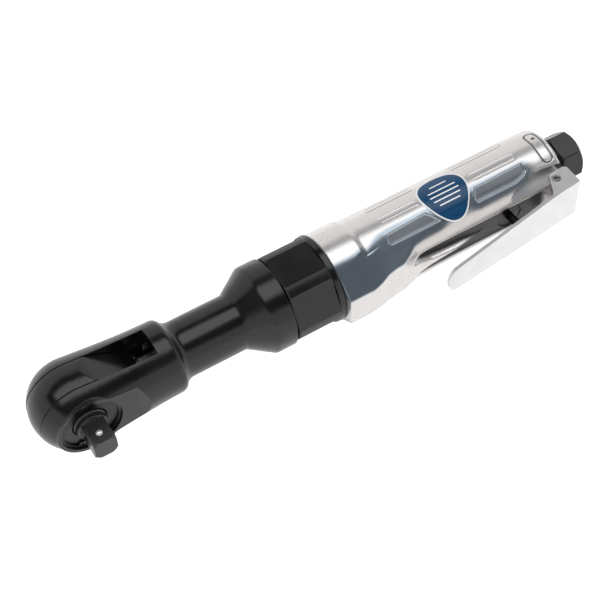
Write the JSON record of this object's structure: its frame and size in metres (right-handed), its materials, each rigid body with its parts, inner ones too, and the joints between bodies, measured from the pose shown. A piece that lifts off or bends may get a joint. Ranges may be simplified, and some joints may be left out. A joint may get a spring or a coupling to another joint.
{
  "type": "air ratchet",
  "caption": "Compressed-air ratchet wrench with a forked swivel-yoke head, square drive, hexagon clamp nut, cast handle and a sprung side lever.",
  "frame": {"origin": "centre of the square drive's root, on the drive's axis", "axes": "+X along the tool from the head to the air inlet, the square drive and the lever point to -Y, +Z is the side with the label"},
  "size_m": [0.2569, 0.0507, 0.0384],
  "materials": {
    "black_steel": "satin",
    "steel": "ground",
    "spring_steel": "oiled",
    "polished_aluminium": "polished",
    "chrome_sheet": "polished",
    "rubber": "matt",
    "label_film": "gloss",
    "bronze": "turned",
    "blade_composite": "matt"
  },
  "bodies": {
    "tool_body": {"ratchet_head": "black_steel", "retaining_ring": "spring_steel", "thrust_plate": "steel", "crank_front_bearing": "steel", "crank_rear_bearing": "steel", "ring_gear": "steel", "gear_washer": "steel", "spacer_plate": "steel", "front_end_plate": "steel", "rear_end_plate": "steel", "front_bearing_outer": "steel", "front_bearing_balls": "chrome_sheet", "rear_bearing_outer": "steel", "rear_bearing_balls": "chrome_sheet", "motor_cylinder": "steel", "cylinder_dowel": "steel", "clamp_nut": "black_steel", "nut_ring": "black_steel", "motor_housing": "polished_aluminium", "inlet_bushing": "black_steel", "inlet_screen": "bronze", "inlet_seal": "rubber", "valve_bushing": "bronze", "throttle_valve_spring": "spring_steel", "lever_pin": "steel", "side_label": "label_film"},
    "yoke": {"ratchet_yoke": "black_steel"},
    "anvil": {"ratchet_anvil": "black_steel", "pawl_pin": "steel", "detent_spring": "spring_steel"},
    "pawl": {"ratchet_pawl": "steel"},
    "knob": {"reverse_knob": "black_steel", "pawl_plunger": "steel", "plunger_spring": "spring_steel"},
    "ball": {"detent_ball": "chrome_sheet"},
    "crank": {"crankshaft": "steel", "planet_pins": "steel"},
    "bushing": {"drive_bushing": "bronze"},
    "planet_1": {"planet_gear_1": "steel"},
    "planet_2": {"planet_gear_2": "steel"},
    "planet_3": {"planet_gear_3": "steel"},
    "rotor": {"motor_rotor": "steel", "rotor_blade_1": "blade_composite", "rotor_blade_2": "blade_composite", "rotor_blade_3": "blade_composite", "rotor_blade_4": "blade_composite", "front_bearing_inner": "steel", "rear_bearing_inner": "steel"},
    "lever": {"throttle_lever": "chrome_sheet"},
    "valve": {"throttle_valve_stem": "steel", "throttle_valve_seal": "rubber"}
  },
  "joints": [
    {"name": "yoke_swing", "type": "hinge", "parent": "tool_body", "child": "yoke", "pos_m": [0, 0.0142, 0], "axis": [0, 1, 0], "range_deg": [-7.5, 7.5]},
    {"name": "crank_spin", "type": "hinge", "parent": "tool_body", "child": "crank", "pos_m": [0.06, 0.0142, 0], "axis": [1, 0, 0], "continuous": true},
    {"name": "bushing_spin", "type": "hinge", "parent": "crank", "child": "bushing", "pos_m": [0.0234, 0.0172, 0], "axis": [1, 0, 0], "continuous": true},
    {"name": "planet_1_spin", "type": "hinge", "parent": "crank", "child": "planet_1", "pos_m": [0.0885, 0.0223, 0], "axis": [1, 0, 0], "continuous": true},
    {"name": "planet_2_spin", "type": "hinge", "parent": "crank", "child": "planet_2", "pos_m": [0.0885, 0.01015, 0.00701], "axis": [1, 0, 0], "continuous": true},
    {"name": "planet_3_spin", "type": "hinge", "parent": "crank", "child": "planet_3", "pos_m": [0.0885, 0.01015, -0.00701], "axis": [1, 0, 0], "continuous": true},
    {"name": "rotor_spin", "type": "hinge", "parent": "tool_body", "child": "rotor", "pos_m": [0.128, 0.0142, 0], "axis": [1, 0, 0], "continuous": true},
    {"name": "anvil_spin", "type": "hinge", "parent": "tool_body", "child": "anvil", "pos_m": [0, 0.005, 0], "axis": [0, 1, 0], "continuous": true},
    {"name": "reverse_turn", "type": "hinge", "parent": "anvil", "child": "knob", "pos_m": [0, 0.026, 0], "axis": [0, 1, 0], "range_deg": [-45, 45]},
    {"name": "pawl_rock", "type": "hinge", "parent": "anvil", "child": "pawl", "pos_m": [0.0076, 0.0142, 0], "axis": [0, 1, 0], "range_deg": [-10.01, 10.01]},
    {"name": "detent_press", "type": "slide", "parent": "anvil", "child": "ball", "axis": [0, 0, -1], "range_m": [0, 0.00055], "deforming": ["detent_spring"]},
    {"name": "lever_pivot", "type": "hinge", "parent": "tool_body", "child": "lever", "pos_m": [0.2173, -0.0014, 0], "axis": [0, 0, -1], "range_deg": [0, 8]},
    {"name": "valve_slide", "type": "slide", "parent": "tool_body", "child": "valve", "axis": [0, 1, 0], "range_m": [0, 0.0032]}
  ],
  "couplings": [
    {"joint": "crank_spin", "follows": "yoke_swing", "ratio": -9.6},
    {"joint": "bushing_spin", "follows": "yoke_swing", "ratio": 9.6},
    {"joint": "planet_1_spin", "follows": "yoke_swing", "ratio": 26.88},
    {"joint": "planet_2_spin", "follows": "yoke_swing", "ratio": 26.88},
    {"joint": "planet_3_spin", "follows": "yoke_swing", "ratio": 26.88},
    {"joint": "rotor_spin", "follows": "yoke_swing", "ratio": -43.2},
    {"joint": "pawl_rock", "follows": "reverse_turn", "ratio": -0.22222},
    {"joint": "valve_slide", "follows": "lever_pivot", "m_per_rad": 0.022916}
  ]
}
